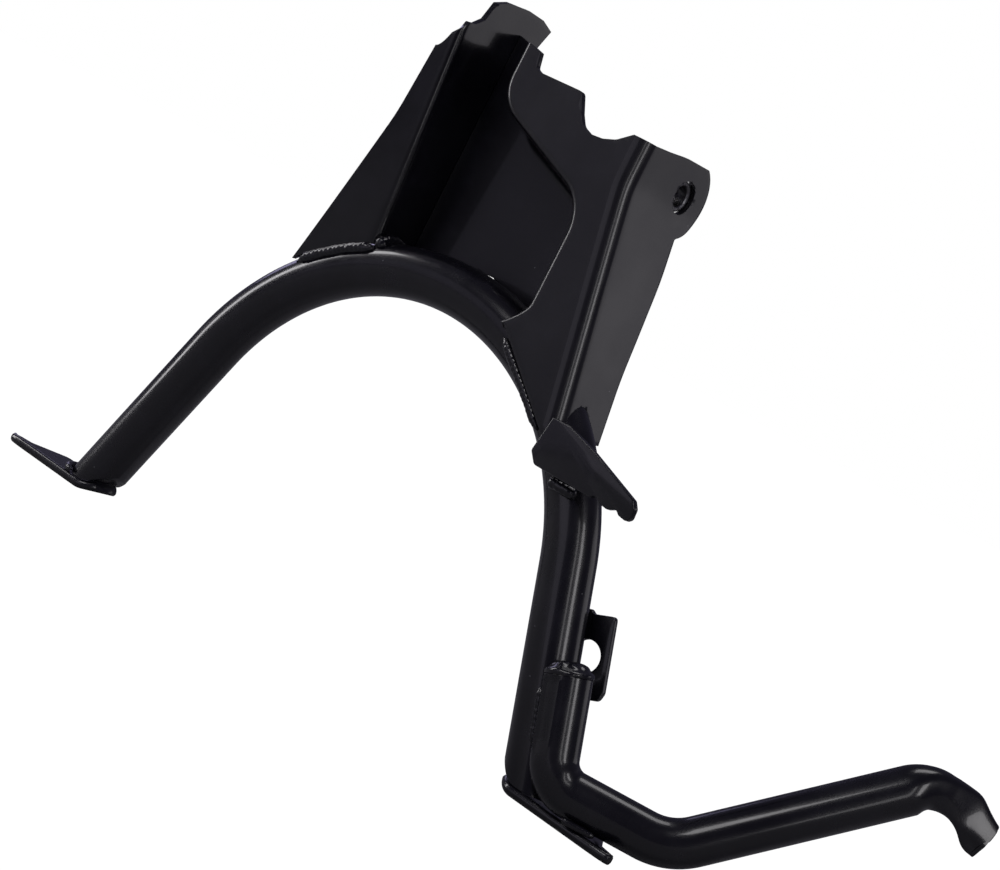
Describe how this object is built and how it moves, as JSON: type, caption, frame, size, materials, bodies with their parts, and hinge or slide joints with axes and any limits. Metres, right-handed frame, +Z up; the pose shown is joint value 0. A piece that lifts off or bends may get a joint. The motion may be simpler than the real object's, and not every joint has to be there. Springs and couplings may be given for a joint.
{
  "type": "motorcycle centre stand",
  "caption": "Black-painted welded steel centre stand for a motorcycle: bent tube arch, pressed saddle with pivot ears, foot pads and a bent foot lever",
  "frame": {"origin": "on the pivot axis of the two ear bushes, at the tube arch's plane of symmetry", "axes": "+X toward the foot lever along the pivot axis, +Y to the rear side of the arch where the ears stand out, +Z up with the stand standing on its soles"},
  "size_m": [0.5161, 0.1106, 0.308],
  "materials": {
    "painted_steel_tube": "glossy black stoving enamel on drawn steel tube",
    "painted_pressed_sheet": "glossy black enamel on pressed steel sheet, soft pressed edges",
    "painted_side_sheet": "glossy black enamel on bent steel sheet",
    "painted_foot_pad": "glossy black enamel on flat steel strip",
    "painted_lever_tube": "glossy black enamel on steel tube, pressed flat at its end",
    "painted_hook_plate": "glossy black enamel on blanked steel plate",
    "painted_bracket": "black enamel on blanked steel plate, slightly duller",
    "painted_weld": "black enamel over a rippled arc weld bead",
    "bush_steel": "bare turned steel, lightly oiled"
  },
  "bodies": {
    "root": {"arch_tube": "painted_steel_tube", "saddle_plate": "painted_pressed_sheet", "left_side_plate": "painted_side_sheet", "left_pivot_bush": "bush_steel", "right_pivot_bush": "bush_steel", "left_foot": "painted_foot_pad", "right_foot": "painted_foot_pad", "lever_tube": "painted_lever_tube", "spring_hook_tab": "painted_hook_plate", "stop_bracket": "painted_bracket", "strip_weld": "painted_weld", "corner_weld": "painted_weld", "web_side_weld": "painted_weld", "plate_lap_weld": "painted_weld", "tab_weld": "painted_weld", "stop_weld": "painted_weld", "lever_top_weld": "painted_weld", "lever_side_weld": "painted_weld", "left_foot_weld": "painted_weld", "right_foot_weld": "painted_weld", "lever_foot_weld": "painted_weld"}
  },
  "joints": []
}
